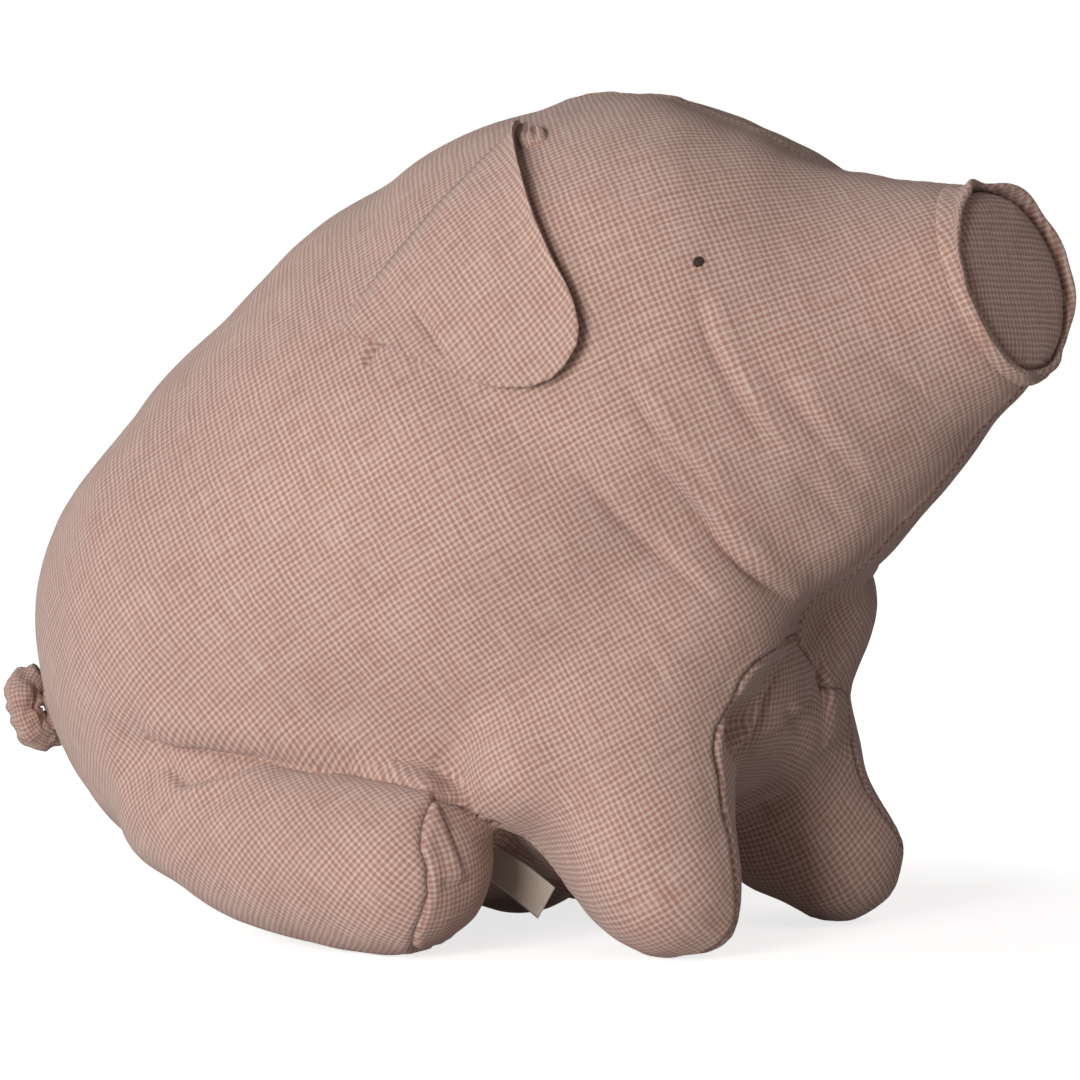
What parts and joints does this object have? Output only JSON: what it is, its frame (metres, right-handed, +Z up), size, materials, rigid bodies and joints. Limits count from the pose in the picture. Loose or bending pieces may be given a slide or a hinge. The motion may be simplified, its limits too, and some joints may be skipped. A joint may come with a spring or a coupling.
{
  "type": "sitting plush pig",
  "caption": "Large sitting stuffed pig in small-check cotton with folded ear flaps, curled tail, sunk snout panel in a seam flange and a bare sewn-in tag.",
  "frame": {"origin": "on the floor, under the middle of the bounding box", "axes": "+X towards the snout, +Y towards the pig's left side, +Z up"},
  "size_m": [0.593, 0.3522, 0.4173],
  "materials": {
    "check_cotton": "matt woven cotton in a small rose and cream check",
    "eye_thread": "dark brown embroidery thread",
    "tag_ribbon": "thin satin ribbon, bare"
  },
  "bodies": {
    "stuffed_body": {"body": "check_cotton", "head": "check_cotton", "snout_panel": "check_cotton", "snout_flange": "check_cotton", "front_leg_right": "check_cotton", "front_leg_left": "check_cotton", "hind_leg_right": "check_cotton", "hind_leg_left": "check_cotton", "eye_right": "eye_thread", "eye_left": "eye_thread"},
    "right_ear": {"ear_right": "check_cotton"},
    "left_ear": {"ear_left": "check_cotton"},
    "curled_tail": {"tail": "check_cotton"},
    "sewn_tag": {"care_tag": "tag_ribbon"}
  },
  "joints": [
    {"name": "right_ear_fold", "type": "hinge", "parent": "stuffed_body", "child": "right_ear", "pos_m": [0.00429, -0.0983, 0.35808], "axis": [-0.4702, -0.5183, -0.7143], "range_deg": [0, 100]},
    {"name": "left_ear_fold", "type": "hinge", "parent": "stuffed_body", "child": "left_ear", "pos_m": [0.00429, 0.0983, 0.35808], "axis": [0.4702, -0.5183, 0.7143], "range_deg": [0, 100]},
    {"name": "tail_wag", "type": "hinge", "parent": "stuffed_body", "child": "curled_tail", "pos_m": [-0.25365, 0, 0.09773], "axis": [0, 0, 1], "range_deg": [-20, 20]},
    {"name": "tag_flap", "type": "hinge", "parent": "stuffed_body", "child": "sewn_tag", "pos_m": [0.0243, -0.0724, 0.0435], "axis": [0.8831, -0.163, 0.44], "range_deg": [-10, 30]}
  ]
}
